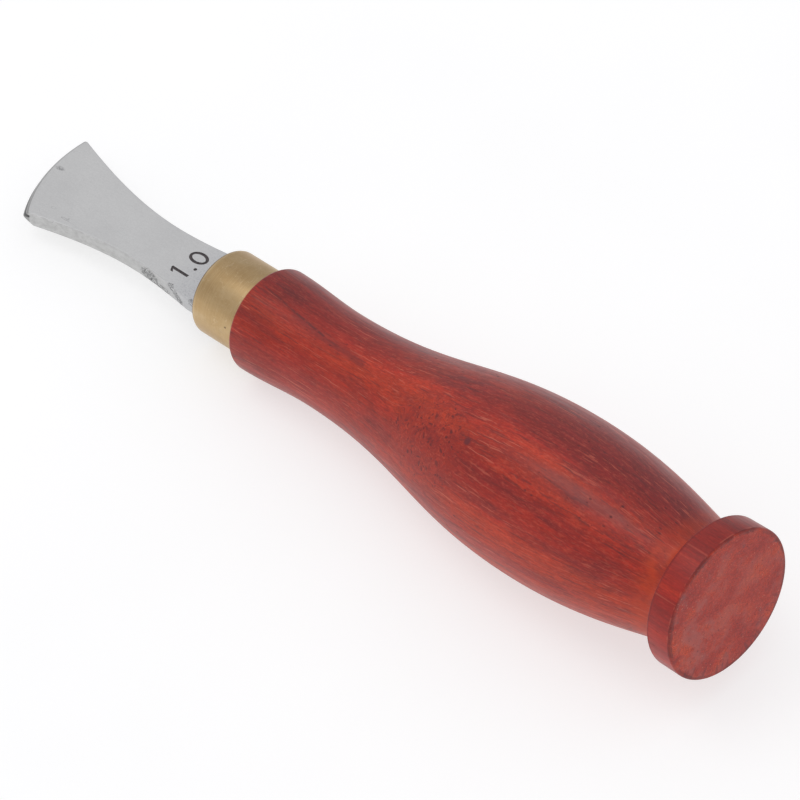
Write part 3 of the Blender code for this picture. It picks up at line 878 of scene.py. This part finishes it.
def blade_mesh():
    """The blade's head and shank: lines run along the plate and end in the working edge's section."""
    side_round, corner_round = 0.16 * MM, 0.45 * MM
    section = edge_section()
    across_count, along_count = 36, 96
    half_thick = BLADE_THICKNESS / 2

    def inset(height):
        """How far the plate's side draws in near its two flats."""
        over = abs(height) - (half_thick - side_round)
        if over <= 0:
            return 0.0
        return side_round - math.sqrt(max(side_round**2 - over**2, 0.0))

    def front(x, setback, width):
        """Where the edge's curve lies along the tool, with the plate's two front corners eased."""
        radius = EDGE_RADIUS - setback
        reach = EDGE_CENTRE[0] + math.sqrt(radius**2 - (x - EDGE_CENTRE[1]) ** 2)
        near_side = abs(x) - (width - corner_round)
        if near_side > 0:
            reach -= corner_round - math.sqrt(max(corner_round**2 - near_side**2, 0.0))
        return reach

    def end_of_line(share, setback, height):
        """Where the line at this share of the half width meets the section's point."""
        at = FAN_AT
        for _ in range(LINE_ROUNDS):
            width = blade_half_width(at) - inset(height)
            at = front(share * width, setback, width)
        return share * width, at

    # Shares of the half width, closer together toward the sides.
    shares = [math.sin(math.pi / 2 * (2 * i / across_count - 1)) for i in range(across_count + 1)]
    rows = {}
    build = bmesh.new()

    def vertex(share_index, level, station):
        """The point on line share_index at the section's level; station 0 is the shank's end."""
        key = (share_index, level, station)
        if key not in rows:
            setback, height = section[level]
            share = shares[share_index]
            x, at = end_of_line(share, setback, height)
            if station < along_count:
                eased = station / along_count
                at = SHANK_START + (at - SHANK_START) * eased
                x = share * (blade_half_width(at) - inset(height))
            rows[key] = build.verts.new((x, height, at))
        return rows[key]

    def quad(*corners, turn=False):
        """A face between four points, each given as for vertex; turned, it faces the other way."""
        found = [vertex(*corner) for corner in corners]
        build.faces.new(found[::-1] if turn else found)

    last = len(section) - 1
    for here in range(along_count):
        ahead = here + 1
        for i in range(across_count):
            j = i + 1
            for level, turn in ((0, False), (last, True)):
                quad((i, level, here), (j, level, here), (j, level, ahead), (i, level, ahead), turn=turn)
        for level in range(last):
            under = level + 1
            for i, turn in ((0, False), (across_count, True)):
                quad((i, level, here), (i, under, here), (i, under, ahead), (i, level, ahead), turn=turn)
    end = along_count
    for level in range(last):
        under = level + 1
        for i in range(across_count):
            j = i + 1
            quad((i, level, end), (j, level, end), (j, under, end), (i, under, end))
    back = [vertex(i, 0, 0) for i in range(across_count + 1)]
    back += [vertex(across_count, level, 0) for level in range(1, last + 1)]
    back += [vertex(i, last, 0) for i in range(across_count - 1, -1, -1)]
    back += [vertex(0, level, 0) for level in range(last - 1, 0, -1)]
    build.faces.new(back[::-1])
    return finished(build, "blade_ground")


def tang_bar():
    """The tapered tang, from inside the shank back into the handle."""
    bar = bmesh.new()
    bmesh.ops.create_cube(bar, size=1.0)
    for v in bar.verts:
        at_end = v.co.z < 0
        v.co.x *= TANG_TIP_WIDTH if at_end else TANG_ROOT_WIDTH
        v.co.y *= TANG_THICKNESS
        v.co.z = TANG_END if at_end else SHANK_START + TANG_OVERLAP
    return finished(bar, "tang_bar")


def numeral_cutters():
    """Solids that sink the size numeral into the top flat: plain digits, their tops toward the tip."""
    top = BLADE_THICKNESS / 2
    low, high = top - DIGIT_DEPTH, top + 0.4 * MM
    stroke, tall = DIGIT_STROKE, DIGIT_HEIGHT
    build = bmesh.new()

    def prism(outline):
        """A solid from an outline of (x, along) points."""
        lower = [build.verts.new((x, low, z)) for x, z in outline]
        upper = [build.verts.new((x, high, z)) for x, z in outline]
        build.faces.new(lower)
        build.faces.new(upper[::-1])
        for i in range(len(outline)):
            j = (i + 1) % len(outline)
            build.faces.new((lower[i], upper[i], upper[j], lower[j]))

    def oval(middle_x, middle_z, half_wide, half_tall, steps):
        """Points round an oval."""
        turns = [2 * math.pi * i / steps for i in range(steps)]
        return [(middle_x + half_wide * math.cos(t), middle_z + half_tall * math.sin(t)) for t in turns]

    def ring(middle_x, middle_z, half_wide, half_tall, steps):
        """An oval loop, one stroke wide."""
        shrinks = (0.0, stroke)
        loops = [oval(middle_x, middle_z, half_wide - by, half_tall - by, steps) for by in shrinks]
        corners = [
            [[build.verts.new((x, level, z)) for x, z in loop] for level in (low, high)] for loop in loops
        ]
        (outer_low, outer_high), (inner_low, inner_high) = corners
        for i in range(steps):
            j = (i + 1) % steps
            build.faces.new((outer_low[i], outer_low[j], inner_low[j], inner_low[i]))
            build.faces.new((outer_high[i], inner_high[i], inner_high[j], outer_high[j]))
            build.faces.new((outer_low[i], outer_high[i], outer_high[j], outer_low[j]))
            build.faces.new((inner_low[i], inner_low[j], inner_high[j], inner_high[i]))

    feet = DIGIT_FEET
    one_at, point_at, nought_at = 2.20 * MM, 0.35 * MM, -1.85 * MM
    prism(
        [
            (one_at - stroke / 2, feet),
            (one_at + stroke / 2, feet),
            (one_at + stroke / 2, feet + tall - 1.15 * stroke),
            (one_at + 0.80 * MM, feet + tall - 2.1 * stroke),
            (one_at + 0.80 * MM, feet + tall - 1.05 * stroke),
            (one_at + 0.1 * stroke, feet + tall),
            (one_at - stroke / 2, feet + tall),
        ]
    )
    dot = 0.30 * MM
    prism(oval(point_at, feet + dot, dot, dot, 20))
    ring(nought_at, feet + tall / 2, 1.28 * MM, tall / 2, 48)
    return finished(build, "numeral")


def combined(name, mesh, steps):
    """The mesh after Boolean steps of (operation, other mesh), as one object in the tool's frame."""
    base = linked(name + "_base", mesh)
    helpers = [base]
    for operation, other in steps:
        cutter = linked(other.name, other)
        helpers.append(cutter)
        modifier = base.modifiers.new(operation.title(), "BOOLEAN")
        modifier.operation = operation
        modifier.object = cutter
        modifier.solver = "EXACT"
    made = solid_mesh(base, name)
    for helper in helpers:
        bpy.data.objects.remove(helper, do_unlink=True)
    return made


# ---------------------------------------------------------------- pieces


def make_handle():
    piece = turned("handle_turned", handle_profile(), rosewood())
    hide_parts("handle")
    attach(piece, "root")


def make_ferrule():
    piece = turned("ferrule_tube", ferrule_profile(), brass(), closed=True)
    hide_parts("ferrule")
    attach(piece, "root")


def make_blade():
    piece = combined(
        "creasing_blade",
        blade_mesh(),
        (("UNION", tang_bar()), ("DIFFERENCE", numeral_cutters())),
    )
    piece.data.materials.clear()
    piece.data.materials.append(steel())
    piece.data.materials.append(etched_mark())
    # The numeral's floor and walls: the faces under the top flat, in the field its digits stand in
    top, field_half, margin, hair = BLADE_THICKNESS / 2, 4.0 * MM, 0.1 * MM, 0.001 * MM
    for face in piece.data.polygons:
        face.use_smooth = True
        x, y, z = face.center
        in_field = abs(x) < field_half and DIGIT_FEET - margin < z < DIGIT_FEET + DIGIT_HEIGHT + margin
        sunk = top - DIGIT_DEPTH - hair < y < top - hair
        face.material_index = 1 if in_field and sunk else 0
    piece.data.transform(TOOL)
    piece.data.set_sharp_from_angle(angle=math.radians(BLADE_SHARP))
    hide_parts("blade")
    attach(piece, "root")


def dress_resin():
    node = frame["nodes"]["tang_resin"]
    node.data.materials.clear()
    node.data.materials.append(cured_resin())


# ---------------------------------------------------------------- stage, light and camera


def make_floor():
    mesh = bpy.data.meshes.new("floor")
    grid = bmesh.new()
    bmesh.ops.create_grid(grid, x_segments=8, y_segments=8, size=FLOOR_HALF)
    grid.to_mesh(mesh)
    grid.free()
    floor = linked("floor", mesh)
    floor.data.materials.append(paper())


def direction(azimuth, elevation):
    """The way from the object to a place at this azimuth and elevation; azimuth 0 is on the -Y side."""
    a, e = math.radians(azimuth), math.radians(elevation)
    return Vector((math.sin(a) * math.cos(e), -math.cos(a) * math.cos(e), math.sin(e)))


def soft_box(name, azimuth, elevation, distance, size, radiance):
    """A rectangular lamp that faces the object. Its power follows from how bright its face is."""
    lamp = bpy.data.lights.new(name, "AREA")
    lamp.shape = "RECTANGLE"
    lamp.size, lamp.size_y = size
    lamp.energy = radiance * math.pi * size[0] * size[1]
    obj = linked(name, lamp)
    way = direction(azimuth, elevation)
    obj.location = way * distance
    obj.rotation_mode = "QUATERNION"
    obj.rotation_quaternion = way.to_track_quat("Z", "Y")


def make_sky():
    """An even white tent, a little darker toward the horizon."""
    world = bpy.data.worlds.new("tent")
    bpy.context.scene.world = world
    world.use_nodes = True
    nodes, links = world.node_tree.nodes, world.node_tree.links
    background = nodes["Background"]
    height = nodes.new("ShaderNodeSeparateXYZ")
    links.new(nodes.new("ShaderNodeTexCoord").outputs["Generated"], height.inputs[0])
    ramp = nodes.new("ShaderNodeValToRGB")
    for element, at, colour in zip(ramp.color_ramp.elements, (0.0, 0.9), (TENT_LOW, TENT_HIGH)):
        element.position = at
        element.color = (*colour, 1.0)
    links.new(height.outputs["Z"], ramp.inputs["Fac"])
    links.new(ramp.outputs["Color"], background.inputs["Color"])
    background.inputs["Strength"].default_value = 1.0


def make_camera():
    data = bpy.data.cameras.new("camera")
    data.lens = CAMERA_LENS
    data.sensor_width = 36.0
    data.clip_start, data.clip_end = 0.01, 20.0
    camera = linked("camera", data)
    way = direction(CAMERA_AZIMUTH, CAMERA_ELEVATION)
    camera.location = Vector(CAMERA_AIM) + way * CAMERA_DISTANCE
    camera.rotation_mode = "QUATERNION"
    roll = Matrix.Rotation(math.radians(CAMERA_ROLL), 3, "Z")
    camera.rotation_quaternion = (way.to_track_quat("Z", "Y").to_matrix() @ roll).to_quaternion()
    bpy.context.scene.camera = camera


make_camera()
make_handle()
make_ferrule()
make_blade()
dress_resin()
make_floor()
make_sky()
soft_box("overhead", LAMP_AZIMUTH, LAMP_ELEVATION, LAMP_DISTANCE, LAMP_SIZE, LAMP_RADIANCE)
bpy.context.scene.view_settings.view_transform = "Standard"
